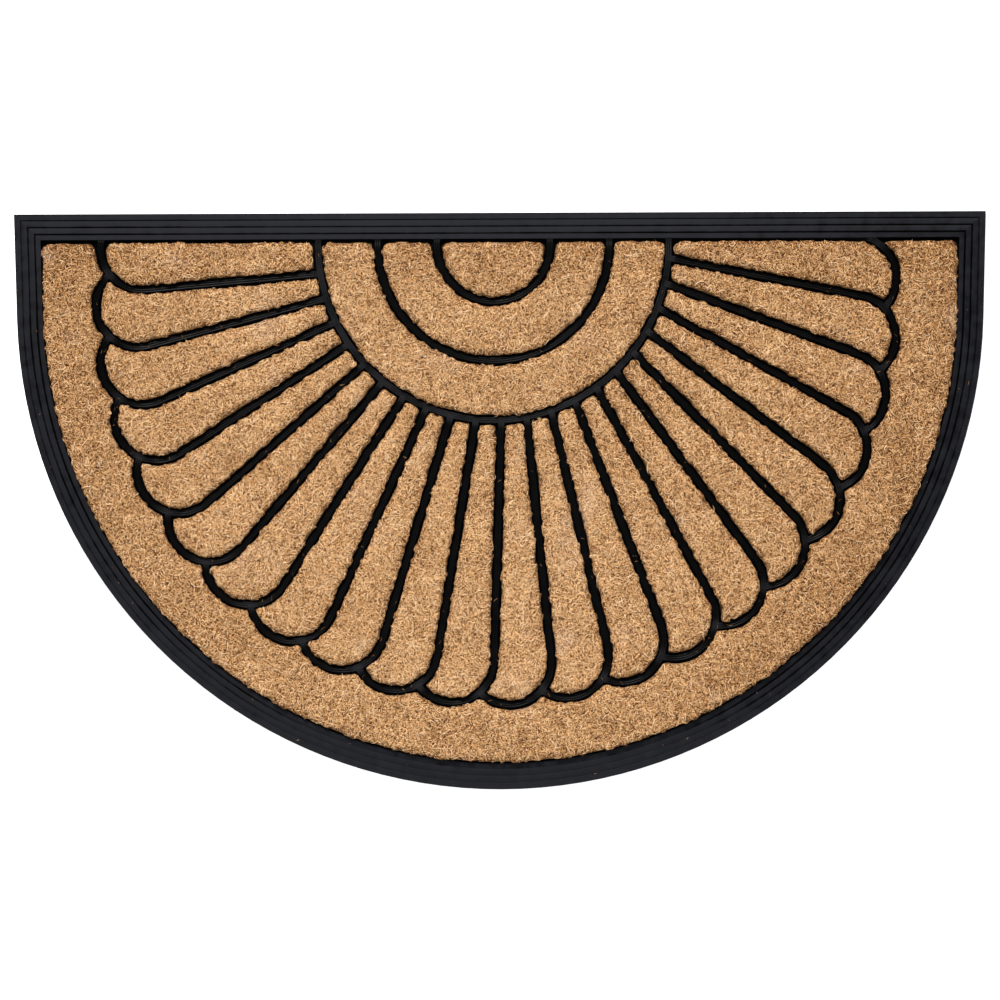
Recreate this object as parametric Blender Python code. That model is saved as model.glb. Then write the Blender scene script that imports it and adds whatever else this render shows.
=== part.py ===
"""Half-round coir doormat: a black rubber moulding whose pockets hold pads of matted coir.

The mat lies flat. X runs along its straight edge, Y points from the curved edge to the straight one,
and Z points up. The origin is at the middle of its bounding box, on the floor. Sizes are in metres.
"""

import math

import bmesh
import bpy
from mathutils import Matrix, Vector

# Outline: a round arc, and two short sides that run straight from it to the corners of the straight edge
MAT_WIDTH = 0.750
SIDE_HEIGHT = 0.0720
ARC_RADIUS = 0.3730
MAT_DEPTH = SIDE_HEIGHT + ARC_RADIUS
STRAIGHT_EDGE_Y = MAT_DEPTH / 2
ARC_CENTRE = Vector((0.0, STRAIGHT_EDGE_Y - SIDE_HEIGHT))
CORNER = Vector((MAT_WIDTH / 2, SIDE_HEIGHT))
SIDE_LEAN = math.atan2(CORNER.y, CORNER.x) - math.acos(ARC_RADIUS / CORNER.length)

# Heights above the floor
SHEET_TOP = 0.0030
RIM_OUTER_TOP = 0.0040
RIB_TOP = 0.0065
COIR_TOP = 0.0120
COIR_SEAT_GAP = 0.0003

# Lines of the pattern: a rib with a small gap to the coir on each side. The gap is wider along the
# straight edge, and a little narrower along the rest of the rim.
RIB_WIDTH = 0.0050
COIR_TO_COIR = 0.0076
RIB_HALF = RIB_WIDTH / 2
LINE_HALF = COIR_TO_COIR / 2
STRAIGHT_GAP = 0.0029
RIM_GAP = 0.0011

# Rim: four strips that climb inwards like saw teeth, all but the last ending in a steep drop
RIM_WIDTH = 0.0201
RIM_CREST = 0.0004
STRIP_COUNT = 4
FIRST_STRIP = 0.0050
MIDDLE_STRIP = 0.0054
LAST_STRIP = RIM_WIDTH - RIM_CREST - FIRST_STRIP - (STRIP_COUNT - 2) * MIDDLE_STRIP
DROP_HEIGHT = 0.0009
DROP_WIDTH = 0.0003

# Sunburst: three half rings, and rays that leave the last ring in equal steps. Each ray runs straight
# to a curved tip, and the tips stand in equal steps of their own round an envelope circle.
FAN_CENTRE = Vector((-0.0050, 0.1974))
RING_RADII = (0.0437, 0.0894, 0.1353)
PETAL_COUNT = 22
RAY_FIRST = math.radians(-3.8)
RAY_SPACING = math.radians(8.31)
TIP_RADIUS = 0.0325
TIP_FIRST = math.radians(-3.75)
TIP_SPACING = math.radians(9.19)
ENVELOPE_CENTRE = Vector((-0.0027, 0.1515))
ENVELOPE_RADIUS = 0.3090

# Coir pads: soft edges and corners
PAD_EDGE = 0.0012
PAD_CORNER = 0.0025
POCKET_CORNER = 0.0012
SHARP_TURN = math.radians(25)
SHARE_OF_SIDE = 0.45

# Fineness of the curved stretches, and how close two points are one
RIM_STEP = math.radians(2.40)
RING_STEP = math.radians(6)
TIP_STEP = math.radians(11)
SAME_POINT = 0.00001

RUBBER_COLOUR = (0.022, 0.022, 0.026)
COIR_COLOUR = (0.50, 0.28, 0.13)


def arc(centre, radius, start, end, step):
    """Points on a circle from one angle to another, either way round, both ends included."""
    count = max(1, math.ceil(abs(end - start) / step))
    angles = [start + (end - start) * i / count for i in range(count + 1)]
    return [centre + radius * Vector((math.cos(a), math.sin(a))) for a in angles]


def heading(vector):
    """The angle of a direction, in radians from +X."""
    return math.atan2(vector.y, vector.x)


def clockwise(start, end):
    """The end angle brought to less than a full turn below the start angle."""
    return start - (start - end) % math.tau


def circles_meet(centre_a, radius_a, centre_b, radius_b):
    """Where two circles cross, on the side away from the fan's centre."""
    between = centre_b - centre_a
    distance = between.length
    along = (distance**2 + radius_a**2 - radius_b**2) / (2 * distance)
    aside = math.sqrt(radius_a**2 - along**2)
    middle = centre_a + between * (along / distance)
    across = Vector((-between.y, between.x)) * (aside / distance)
    return max(middle + across, middle - across, key=lambda p: (p - FAN_CENTRE).length)


def meets_height(centre, radius, height, side):
    """Where a circle crosses a level line, on its right (side 1) or its left (side -1)."""
    return Vector((centre.x + side * math.sqrt(radius**2 - (height - centre.y) ** 2), height))


def share_of_gap(half):
    """How much of the gap between rubber and coir lies within half a line: 0 for the rib, 1 for the pad."""
    return (half - RIB_HALF) / (LINE_HALF - RIB_HALF)


def field_edge_y(half):
    """The straight upper side of every field, where the gap to the coir is wider than at the ribs."""
    return STRAIGHT_EDGE_Y - RIM_WIDTH - STRAIGHT_GAP * share_of_gap(half)


def downwards(angle):
    """Unit vector at an angle counted clockwise from the right."""
    return Vector((math.cos(angle), -math.sin(angle)))


def ray_start(k):
    """Where ray k leaves the middle of the outermost ring's rib."""
    return FAN_CENTRE + RING_RADII[-1] * downwards(RAY_FIRST + k * RAY_SPACING)


def tip_centre(k):
    """Centre of the curve at the end of ray k, which touches the envelope circle from inside."""
    reach = ENVELOPE_RADIUS - TIP_RADIUS
    if k == 0:
        height = field_edge_y(LINE_HALF) - (TIP_RADIUS - LINE_HALF)
        return meets_height(ENVELOPE_CENTRE, reach, height, 1)
    return ENVELOPE_CENTRE + reach * downwards(TIP_FIRST + k * TIP_SPACING)


def ray_way(k):
    """Unit vector along ray k, which runs on into its tip curve without a bend."""
    if k in (0, PETAL_COUNT):
        return Vector((1, 0)) if k == 0 else Vector((-1, 0))
    to_centre = tip_centre(k) - ray_start(k)
    turn = math.asin(TIP_RADIUS / to_centre.length)
    to_centre.rotate(Matrix.Rotation(turn, 2))
    return to_centre.normalized()


def ray_side(k):
    """Unit vector across ray k, towards the next ray."""
    way = ray_way(k)
    return Vector((way.y, -way.x))


def ring_corner(k, half, side):
    """Where the outermost ring's outer side meets one side of ray k."""
    radius = RING_RADII[-1] + half
    if k == 0:
        return meets_height(FAN_CENTRE, radius, field_edge_y(half), 1)
    if k == PETAL_COUNT:
        return meets_height(FAN_CENTRE, radius, field_edge_y(half), -1)
    start = ray_start(k) + side * half * ray_side(k)
    from_centre = start - FAN_CENTRE
    along = from_centre.dot(ray_way(k))
    step = -along + math.sqrt(along**2 - from_centre.length_squared + radius**2)
    return start + step * ray_way(k)


def petal_tip(k, half):
    """Petal k's far end, from its own ray round to the next ray, or to the rim for the last one."""
    own_centre = tip_centre(k)
    own_radius = TIP_RADIUS - half
    start = heading(-ray_side(k))
    if k == PETAL_COUNT - 1:
        last = meets_height(own_centre, own_radius, field_edge_y(half), -1)
        return arc(own_centre, own_radius, start, clockwise(start, heading(last - own_centre)), TIP_STEP)
    next_centre = tip_centre(k + 1)
    next_radius = TIP_RADIUS + half
    cusp = circles_meet(own_centre, own_radius, next_centre, next_radius)
    outer = arc(own_centre, own_radius, start, clockwise(start, heading(cusp - own_centre)), TIP_STEP)
    next_start = heading(-ray_side(k + 1))
    cusp_angle = clockwise(next_start, heading(cusp - next_centre))
    inner = arc(next_centre, next_radius, cusp_angle, next_start, TIP_STEP)
    return outer + inner[1:]


def petal_outline(k, half):
    """Petal k, between ray k and the next one, with its sides moved in by half a line."""
    near = ring_corner(k, half, 1)
    far = ring_corner(k + 1, half, -1)
    start = heading(far - FAN_CENTRE)
    end = start + (heading(near - FAN_CENTRE) - start) % math.tau
    ring_side = arc(FAN_CENTRE, RING_RADII[-1] + half, start, end, RING_STEP)
    return petal_tip(k, half) + ring_side


def ring_outline(inner_radius, outer_radius, half):
    """A half ring, or a half disc where the inner radius is zero, cut off by the rim."""
    top = field_edge_y(half)
    outer = outer_radius - half
    right = meets_height(FAN_CENTRE, outer, top, 1)
    start = heading(right - FAN_CENTRE)
    outline = arc(FAN_CENTRE, outer, start, -math.pi - start, RING_STEP)
    if inner_radius:
        inner = inner_radius + half
        right = meets_height(FAN_CENTRE, inner, top, 1)
        start = heading(right - FAN_CENTRE)
        outline += arc(FAN_CENTRE, inner, -math.pi - start, start, RING_STEP)
    return outline


def scallops(half):
    """The inner side of the border band: the outer sides of all the tip curves, from right to left."""
    radius = TIP_RADIUS + half
    top = field_edge_y(half)
    ends = [meets_height(tip_centre(0), radius, top, 1)]
    for k in range(PETAL_COUNT - 1):
        ends.append(circles_meet(tip_centre(k), radius, tip_centre(k + 1), radius))
    ends.append(meets_height(tip_centre(PETAL_COUNT - 1), radius, top, -1))
    line = ends[:1]
    for k in range(PETAL_COUNT):
        centre = tip_centre(k)
        start = heading(ends[k] - centre)
        line += arc(centre, radius, start, clockwise(start, heading(ends[k + 1] - centre)), TIP_STEP)[1:]
    return line


def mat_outline(inset, top):
    """The mat's round outline moved in by inset and closed at the height top, from the right corner."""
    radius = ARC_RADIUS - inset
    height = top - ARC_CENTRE.y
    width = (radius - height * math.sin(SIDE_LEAN)) / math.cos(SIDE_LEAN)
    right = ARC_CENTRE + Vector((width, height))
    left = ARC_CENTRE + Vector((-width, height))
    return [right] + arc(ARC_CENTRE, radius, SIDE_LEAN, -math.pi - SIDE_LEAN, RIM_STEP) + [left]


def border_outline(half):
    """The band between the scallops and the rim."""
    inset = RIM_WIDTH + RIM_GAP * share_of_gap(half)
    return mat_outline(inset, field_edge_y(half)) + scallops(half)[::-1]


def without_doubles(outline):
    """The outline with points that lie on the one before taken out."""
    return [p for i, p in enumerate(outline) if (p - outline[i - 1]).length > SAME_POINT]


def rounded(outline, radius):
    """The outline with each sharp corner replaced by a short curve of three points."""
    outline = without_doubles(outline)
    points = []
    for i, corner in enumerate(outline):
        back = outline[i - 1] - corner
        ahead = outline[(i + 1) % len(outline)] - corner
        turn = math.pi - back.angle(ahead)
        if turn < SHARP_TURN:
            points.append(corner)
            continue
        trim = min(radius * math.tan(turn / 2), SHARE_OF_SIDE * back.length, SHARE_OF_SIDE * ahead.length)
        first = corner + back.normalized() * trim
        last = corner + ahead.normalized() * trim
        middle = (first + last) / 2
        points += [first, (middle + corner) / 2, last]
    return points


def coir_fields():
    """Name of each coir field, and the function that gives its outline for half a line's width."""
    fields = {
        "coir_centre": lambda half: ring_outline(0, RING_RADII[0], half),
        "coir_ring_1": lambda half: ring_outline(RING_RADII[0], RING_RADII[1], half),
        "coir_ring_2": lambda half: ring_outline(RING_RADII[1], RING_RADII[2], half),
        "coir_border": border_outline,
    }
    for k in range(PETAL_COUNT):
        fields[f"coir_petal_{k + 1:02d}"] = lambda half, k=k: petal_outline(k, half)
    return fields


def flat_face(bm, outline, height):
    """One face with the outline's shape, looking up."""
    face = bm.faces.new([bm.verts.new((p.x, p.y, height)) for p in outline])
    face.normal_update()
    if face.normal.z < 0:
        face.normal_flip()
    return face


def raised(bm, face, height):
    """Closes a flat face into a slab whose top lies at the given height, and returns the top."""
    moved = bmesh.ops.extrude_face_region(bm, geom=[face], use_keep_orig=True)["geom"]
    top = next(item for item in moved if isinstance(item, bmesh.types.BMFace))
    for vert in top.verts:
        vert.co.z = height
    face.normal_flip()
    return top


def material(name, colour, roughness):
    """A plain surface with the part's colour and roughness."""
    made = bpy.data.materials.new(name)
    made.use_nodes = True
    shader = made.node_tree.nodes["Principled BSDF"]
    shader.inputs["Base Color"].default_value = (*colour, 1.0)
    shader.inputs["Roughness"].default_value = roughness
    shader.inputs["Metallic"].default_value = 0.0
    return made


def placed(name, bm, collection, finish=None):
    """The finished mesh as a named object in its collection."""
    bmesh.ops.recalc_face_normals(bm, faces=bm.faces)
    mesh = bpy.data.meshes.new(name)
    bm.to_mesh(mesh)
    bm.free()
    made = bpy.data.objects.new(name, mesh)
    collection.objects.link(made)
    if finish:
        mesh.materials.append(finish)
    return made


def coir_pad(name, outline_for, collection, finish):
    """A pad of matted coir with soft upper edges, just clear of its pocket."""
    bm = bmesh.new()
    outline = rounded(outline_for(LINE_HALF), PAD_CORNER)
    top = raised(bm, flat_face(bm, outline, SHEET_TOP + COIR_SEAT_GAP), COIR_TOP - PAD_EDGE)
    bmesh.ops.inset_region(bm, faces=[top], thickness=PAD_EDGE, depth=PAD_EDGE, use_even_offset=True)
    return placed(name, bm, collection, finish)


def pocket_cutter(name, outline_for, collection):
    """The space that one pad's pocket takes out of the rubber."""
    bm = bmesh.new()
    outline = rounded(outline_for(RIB_HALF), POCKET_CORNER)
    raised(bm, flat_face(bm, outline, SHEET_TOP), RIB_TOP + SHEET_TOP)
    cutter = placed(f"pocket_{name}", bm, collection)
    cutter.hide_render = True
    cutter.display_type = "WIRE"
    return cutter


def rim_climb():
    """The rim's surface as steps inwards from its outer edge: (width, rise) of each."""
    rise = (RIB_TOP - RIM_OUTER_TOP) / STRIP_COUNT
    first = [(FIRST_STRIP - DROP_WIDTH, rise), (DROP_WIDTH, -DROP_HEIGHT)]
    middle = [(MIDDLE_STRIP - DROP_WIDTH, rise + DROP_HEIGHT), (DROP_WIDTH, -DROP_HEIGHT)]
    last = [(LAST_STRIP, rise + DROP_HEIGHT)]
    return first + middle * (STRIP_COUNT - 2) + last


def rubber_base(cutters, collection, finish):
    """The moulding: a slab with the rim's strips worked in from its edge, and the pockets cut out."""
    bm = bmesh.new()
    top = raised(bm, flat_face(bm, mat_outline(0, STRAIGHT_EDGE_Y), 0.0), RIM_OUTER_TOP)
    for width, rise in rim_climb():
        bmesh.ops.inset_region(bm, faces=[top], thickness=width, depth=0.0, use_even_offset=True)
        for vert in top.verts:
            vert.co.z += rise
    base = placed("rubber_base", bm, collection, finish)
    pockets = base.modifiers.new("pockets", "BOOLEAN")
    pockets.operation = "DIFFERENCE"
    pockets.operand_type = "COLLECTION"
    pockets.collection = cutters
    pockets.solver = "EXACT"
    return base


def new_collection(name):
    """A collection in the scene."""
    made = bpy.data.collections.new(name)
    bpy.context.scene.collection.children.link(made)
    return made


def main():
    for old in list(bpy.data.objects):
        bpy.data.objects.remove(old, do_unlink=True)
    parts = new_collection("coir_doormat")
    cutters = new_collection("cutters")
    rubber = material("rubber", RUBBER_COLOUR, 0.55)
    coir = material("coir", COIR_COLOUR, 0.9)
    for name, outline_for in coir_fields().items():
        coir_pad(name, outline_for, parts, coir)
        pocket_cutter(name, outline_for, cutters)
    rubber_base(cutters, parts, rubber)


main()
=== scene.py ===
"""Looks of the half-round coir doormat: pads of matted coir in a black rubber moulding, on a white floor.

Sizes are in metres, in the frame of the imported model: X along the straight edge, Y towards it, Z up.
"""

import math

import bmesh
import bpy
import numpy as np
from mathutils import Matrix, Vector
from mathutils.bvhtree import BVHTree


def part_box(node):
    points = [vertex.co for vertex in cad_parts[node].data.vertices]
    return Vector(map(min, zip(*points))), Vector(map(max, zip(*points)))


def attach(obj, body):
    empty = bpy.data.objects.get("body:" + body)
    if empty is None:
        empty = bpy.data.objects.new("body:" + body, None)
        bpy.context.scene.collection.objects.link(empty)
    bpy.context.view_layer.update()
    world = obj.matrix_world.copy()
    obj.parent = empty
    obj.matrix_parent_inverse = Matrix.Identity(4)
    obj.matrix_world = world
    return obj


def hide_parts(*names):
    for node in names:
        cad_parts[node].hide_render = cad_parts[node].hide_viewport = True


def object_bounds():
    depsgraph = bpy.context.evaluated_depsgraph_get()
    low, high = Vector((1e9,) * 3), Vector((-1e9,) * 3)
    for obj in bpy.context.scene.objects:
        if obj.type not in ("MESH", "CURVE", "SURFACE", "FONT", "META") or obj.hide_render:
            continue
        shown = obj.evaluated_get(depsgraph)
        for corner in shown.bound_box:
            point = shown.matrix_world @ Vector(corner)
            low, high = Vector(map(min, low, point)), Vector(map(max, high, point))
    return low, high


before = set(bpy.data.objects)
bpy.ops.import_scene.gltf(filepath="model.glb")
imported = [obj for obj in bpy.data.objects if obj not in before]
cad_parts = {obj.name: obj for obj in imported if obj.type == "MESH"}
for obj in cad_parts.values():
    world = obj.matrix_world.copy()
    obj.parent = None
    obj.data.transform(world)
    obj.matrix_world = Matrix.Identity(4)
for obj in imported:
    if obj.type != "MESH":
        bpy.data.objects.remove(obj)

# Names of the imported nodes
RUBBER_NODE = "rubber_base"
COIR_NODES = sorted(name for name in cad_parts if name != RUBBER_NODE)

# The mat's outline and levels, from the frame
LOW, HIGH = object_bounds()
STRAIGHT_EDGE_Y = HIGH.y
RIB_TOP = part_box(RUBBER_NODE)[1].z
COIR_TOP = HIGH.z
ARC_CENTRE_INWARDS = 0.0720
ARC_CENTRE = Vector((0.0, STRAIGHT_EDGE_Y - ARC_CENTRE_INWARDS))
ARC_RADIUS = ARC_CENTRE.y - LOW.y

# Lines of the sunburst
RIM_WIDTH = 0.0201
RIM_EDGE_Y = STRAIGHT_EDGE_Y - RIM_WIDTH
RIB_WIDTH = 0.0050
LINE_HALF = 0.0038
STRAIGHT_GAP = 0.0029
COIR_EDGE_Y = RIM_EDGE_Y - STRAIGHT_GAP
FAN_CENTRE = Vector((-0.0050, 0.1974))
RING_RADII = (0.0437, 0.0894, 0.1353)
PETAL_COUNT = 22
RAY_FIRST = math.radians(-3.8)
RAY_SPACING = math.radians(8.31)
TIP_RADIUS = 0.0325
TIP_FIRST = math.radians(-3.75)
TIP_SPACING = math.radians(9.19)
FIRST_TIP_JUNCTION = math.radians(52)
ENVELOPE_CENTRE = Vector((-0.0027, 0.1515))
ENVELOPE_RADIUS = 0.3090

# Matted coir under the loose strands, with lumps as size and rise, and wanders of its edge as size and reach
MATTING_TOP = COIR_TOP - 0.0010
MATTING_CELL = 0.0022
MATTING_JITTER = 0.00035
JITTER_SEED = 20
LUMPS = ((0.0032, 0.00022), (0.0090, 0.00025), (0.0400, 0.00020))
EDGE_ROUNDING = 0.0060
EDGE_DROP = 0.0014
DEEPEST_EDGE = 1.4
EDGE_BACK = 0.00035
PAD_CORNER = 0.0025
CORNER_ROUNDING = 0.0062
SHORTEST_RUN = 0.0050
WANDERS = ((0.0240, 0.0005), (0.0075, 0.0004), (0.0033, 0.0011))
WANDER_SEED = 40
WANDER_REACH = 0.0040
NOISE_CELLS = 256
SAME_POINT = 0.00001
FLAT = math.radians(1)
FACING_DOWN = -0.5

# Coir strands: how many, and their kinds, each with its share, points, usual length, curl and paler tone
STRAND_SEED = 11
STRANDS_PER_SQUARE_METRE = 430000
MOST_STRANDS = 14000
STRAND_KINDS = ((0.64, 3, 0.0037, 0.3, 0.0), (0.30, 4, 0.0040, 1.2, 0.0), (0.06, 6, 0.0075, 2.2, 0.25))

# Back and foot of a strand's three-sided section, in half widths from its middle
STRAND_BACK = 0.7
STRAND_FOOT = 0.4

# Shades of the strands, as middle and spread, and the shares that are dark or pale
USUAL_TONE = (0.53, 0.10)
# Dark strands are partly dark fibre and partly painted shade in the holes between fibres
DARK_TONE = (0.05, 0.05)
DARK_SHARE = 0.14
PALE_TONE = (0.88, 0.08)
PALE_SHARE = 0.14

# Strands in the pads' upper faces
LEAST_DEPTH = 0.0002
TOP_LENGTH_SPREAD = 0.36
TOP_LENGTHS = (0.0018, 0.0120)
TOP_WIDTHS = (0.00032, 0.00062)
# Dark strands are short and lifted, as painted shade of small holes in the coir
DARK_UNDER = 0.25
DARK_LENGTH = 0.5
DARK_LIFT = 0.0002
NEAR_EDGE = 0.42
EDGE_TURN = 1.2
EDGE_SLACK = 0.0005
TOP_LIFTS = (-0.0002, 0.0006)
TOP_ARCHES = (0.0, 0.0005)

# Strands along the pads' sides
SIDE_STRANDS_PER_METRE = 560
SIDE_LENGTHS = (0.0025, 0.0050)
SIDE_WIDTHS = (0.0004, 0.0008)
SIDE_TILT = 0.5
SIDE_BOWS = (0.0, 0.0004)
SIDE_LEVELS = (RIB_TOP - 0.0010, MATTING_TOP - EDGE_DROP)
# Painted shade: strands on the pads' upright sides are darker, down in the gaps beside the ribs
SIDE_STRAND_SHADE = 0.85

# Loose fibres that lean out over the pads' edges
STRAYS_PER_METRE = 60
STRAY_POINTS = 5
STRAY_LENGTH = 0.0026
STRAY_LENGTH_SPREAD = 0.4
STRAY_LENGTHS = (0.0015, 0.0080)
STRAY_WIDTHS = (0.00025, 0.00045)
STRAY_TURN = 0.8
STRAY_CURL = 0.9
STRAY_BACK = 0.2
STRAY_LIFT = 0.0004
STRAY_DROOP = 60
STRAY_DROOP_POWER = 1.5
STRAY_LOWEST = RIB_TOP + 0.0006
STRAY_TONES = (0.5, 1.0)

# Short ends of fibre on the rubber
LINT_POINTS = 4
LINT_WIDTHS = (0.0002, 0.0004)
LINT_RISE = 0.2
LINT_CURL = 1.0
RIM_LINT = 25
RIM_LINT_PLACES = (0.15, 0.9)
RIM_LINT_LENGTHS = (0.0012, 0.0035)
RIM_LINT_TONES = (0.2, 0.6)
RIB_LINT = 90
RIB_LINT_SPREAD = 0.0012
RIB_LINT_LENGTHS = (0.0020, 0.0060)
RIB_LINT_TONES = (0.2, 0.5)

# Colours of the coir, from shaded to pale
COIR_SHADES = (
    (0.06, (0.045, 0.011, 0.002)),
    (0.26, (0.255, 0.098, 0.024)),
    (0.42, (0.500, 0.256, 0.088)),
    (0.50, (0.610, 0.346, 0.148)),
    (0.75, (0.760, 0.474, 0.235)),
    (1.00, (0.870, 0.630, 0.385)),
)
BLEACHED = (0.640, 0.480, 0.380)
BLEACHED_SHARE = 0.14
BLEACHED_SCALE = 24.0
BLEACHED_REACH = (0.60, 0.75)
# Painted shade: the coir is darker the lower it lies, in its hollows and where the pads' edges curve down
HOLLOW_PAINTED_SHADE = 0.14
HOLLOW_SHADE_REACH = (COIR_TOP - 0.0026, COIR_TOP - 0.0010)
# Painted light falloff: the coir is paler in the middle of the mat and over the petals, darker in the border
# and along the straight edge
MIDDLE_X = -0.060
MIDDLE_PAINTED_LIGHT = 0.09
MIDDLE_REACH = (0.400, 0.060)
STRAIGHT_EDGE_PAINTED_SHADE = 0.07
STRAIGHT_EDGE_REACH = (COIR_EDGE_Y - 0.050, COIR_EDGE_Y)
LIGHT_BAND_PALER = 0.03
LIGHT_BAND_FROM = (0.080, 0.180)
LIGHT_BAND_TO = (0.345, 0.285)
BORDER_PAINTED_SHADE = 0.030
BORDER_REACH = (0.300, 0.330)

# Textures of the coir, as noise scale and swing of the shade, and strokes as patch, length, width and shift
PATCHES = (45.0, 0.30)
TUFTS = (170.0, 0.20)
STREAKS = (900.0, 0.20)
STRAND_ROUGHNESS = 0.72
STRAND_SPECULAR = 0.3
STROKES = ((0.0036, 0.0030, 0.00055, 0.0), (0.0027, 0.0024, 0.00045, 0.013))
# The strokes' contrast and shift keep the matting dark, as painted shade under and between the strands
STROKE_CONTRAST = 3.6
STROKE_SHIFT = -1.75
STROKE_DEPTH = 0.0012
MATTING_ROUGHNESS = 0.85
MATTING_SPECULAR = 0.2

# Colours and dust of the rubber, with painted light where it stands high and painted shade at the mat's ends,
# inside the rim and in the rim's grooves
RIM_SHADES = (
    (0.05, (0.0006, 0.0006, 0.0008)),
    (0.35, (0.0100, 0.0104, 0.0130)),
    (0.65, (0.0142, 0.0147, 0.0181)),
    (0.85, (0.0220, 0.0226, 0.0265)),
)
# The ribs' shades are far darker than the rim's: partly cleaner rubber, partly painted shade in the channels
# between the pads
RIB_SHADES = (
    (0.35, (0.0008, 0.0008, 0.0010)),
    (0.65, (0.0022, 0.0022, 0.0026)),
    (0.95, (0.0110, 0.0112, 0.0130)),
)
DUST = 0.5
DUST_SCALE = 120.0
DUST_DETAIL = 6.0
DUST_SWING = 0.6
# Painted shade: the rubber is darker towards the mat's left and right ends
SIDES_PAINTED_SHADE = 0.20
# Darker inside the rim: partly less dust, partly painted shade down between the pads
INNER_LESS_DUST_AND_SHADE = 0.45
# Painted light: the ribs are paler where they stand high and rise out of the coir's shade
RAISED = (RIB_TOP + 0.0006, RIB_TOP + 0.0014)
RAISED_PAINTED_LIGHT = 0.45
RIM_ROUGHNESS = 0.65
RIB_ROUGHNESS = 0.42
RUBBER_SPECULAR = 0.05
DUST_MATT = 0.5
GRAIN_SCALE = 2600.0
GRAIN_MATT = 0.1
GRAIN_BUMP = 0.5
RUBBER_BUMP = 0.00006

# Painted shade in the grooves between the rim's strips, fading out at the foot of the arc, where light
# reaches into them, and fine lines along the strips
ON_RIM = (RIM_WIDTH - 0.0015, RIM_WIDTH - 0.0030)
GROOVE_STEP = 0.0054
GROOVE_SHIFT = 0.0005
GROOVE_FROM = 0.4
GROOVE_SHADE_INWARDS = 34
GROOVES_FADE = (LOW.y + 0.020, LOW.y + 0.080)
GROOVE_SCALE = 14.0
GROOVE_SWING = 1.2
GROOVE_LEAST = 0.2
RIM_LINE_STEP = 0.0013
RIM_LINE_BUMP = 0.25

# Crowns of the ribs, and rounded edges of the moulding
CROWN_STEP = math.radians(6)
RAY_STEP = 0.0060
BEAD_SPACING = 0.0016
BEAD_PROFILE = ((-0.5, 0.00003), (-0.25, 0.0003), (0.0, 0.0004), (0.25, 0.0003), (0.5, 0.00003))
CROWN_FOOT = 0.0015
CROWN_INTO_RIM = 0.0003
CROWN_PAST_RIM = 0.0008
CROWN_SINK = 0.0005
CROWN_SINK_REACH = 0.0030
RING_LIFTS = (0.0002, 0.0002, 0.0008)
JUNCTION_LIFT = 0.0011
JUNCTION_REACH = 0.0130
SHARP_CORNER = math.radians(50)
ROUNDED_ABOVE = 0.0035
NEARLY_FLAT = math.radians(0.2)
RIB_ROUNDING = 0.0003
RIM_ROUNDING = 0.00012
ROUNDING_SEGMENTS = 2
SMOOTH_UNDER = math.radians(12)

# Floor, light and camera
FLOOR_SIZE = 8.0
FLOOR_GAP = 0.0002
FLOOR_COLOUR = (0.9, 0.9, 0.9)
FLOOR_ROUGHNESS = 0.9
FLOOR_GLOW = 0.75
KEY_COLOUR = (1.0, 0.985, 0.96)
KEY_STRENGTH = 4.9
KEY_SPREAD = math.radians(12)
KEY_HEIGHT = math.radians(42)
KEY_BEARING = math.radians(104)
FILL_COLOUR = (0.97, 0.985, 1.0)
FILL_LEVEL = 0.80
FILL_OVERHEAD = 0.08
OVERHEAD_FROM = 0.80
OVERHEAD_FULL = 0.97
CAMERA_HEIGHT = 4.0
PICTURE_WIDTH = 0.7715
PICTURE_CENTRE = (-0.0007, 0.0008)
PICTURE_PLANE = 0.0040
PICTURE_TURN = math.radians(-0.211)


def smooth_step(t):
    """Eases a share from 0 to 1 in and out."""
    return t * t * (3 - 2 * t)


def soft_noise(points, size, seed):
    """Smooth random hills from -1 to 1 over the points, one to each square cell of the given size."""
    grid = np.random.default_rng(seed).uniform(-1, 1, (NOISE_CELLS, NOISE_CELLS))
    scaled = points[:, :2] / size
    cell = np.floor(scaled).astype(int)
    share = smooth_step(scaled - cell)
    here = cell % NOISE_CELLS
    after = (cell + 1) % NOISE_CELLS
    near = grid[here[:, 0], here[:, 1]] * (1 - share[:, 0]) + grid[after[:, 0], here[:, 1]] * share[:, 0]
    far = grid[here[:, 0], after[:, 1]] * (1 - share[:, 0]) + grid[after[:, 0], after[:, 1]] * share[:, 0]
    return near * (1 - share[:, 1]) + far * share[:, 1]


def depth_inside(points, outline):
    """How deep each point lies inside a closed outline (below zero outside), and the edge's way there."""
    nearest = np.full(len(points), np.inf)
    way = np.zeros((len(points), 2))
    inside = np.zeros(len(points), bool)
    for start, run in zip(outline, np.roll(outline, -1, axis=0) - outline):
        offset = points[:, :2] - start
        share = np.clip(offset @ run / (run @ run), 0, 1)
        gap = np.linalg.norm(offset - share[:, None] * run, axis=1)
        closer = gap < nearest
        nearest[closer] = gap[closer]
        way[closer] = run / np.linalg.norm(run)
        crosses = (offset[:, 1] < 0) != (offset[:, 1] < run[1])
        slope = run[0] / run[1] if run[1] else 0.0
        inside ^= crosses & (offset[:, 0] < offset[:, 1] * slope)
    return np.where(inside, nearest, -nearest), way


def rim_corners(outline):
    """Where a pad's sharp corners at the straight edge would lie, and which way along it leads inwards."""
    corners = []
    count = len(outline)
    for i, start in enumerate(outline):
        end = outline[(i + 1) % count]
        if min(start[1], end[1]) < COIR_EDGE_Y - SAME_POINT or start[0] - end[0] < SHORTEST_RUN:
            continue
        for corner, beyond, inwards in ((start, outline[i - 2], -1), (end, outline[(i + 3) % count], 1)):
            if corner[1] - beyond[1] > abs(beyond[0] - corner[0]) / 2:
                corners.append((corner[0] - inwards * PAD_CORNER, inwards))
    return corners


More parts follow.
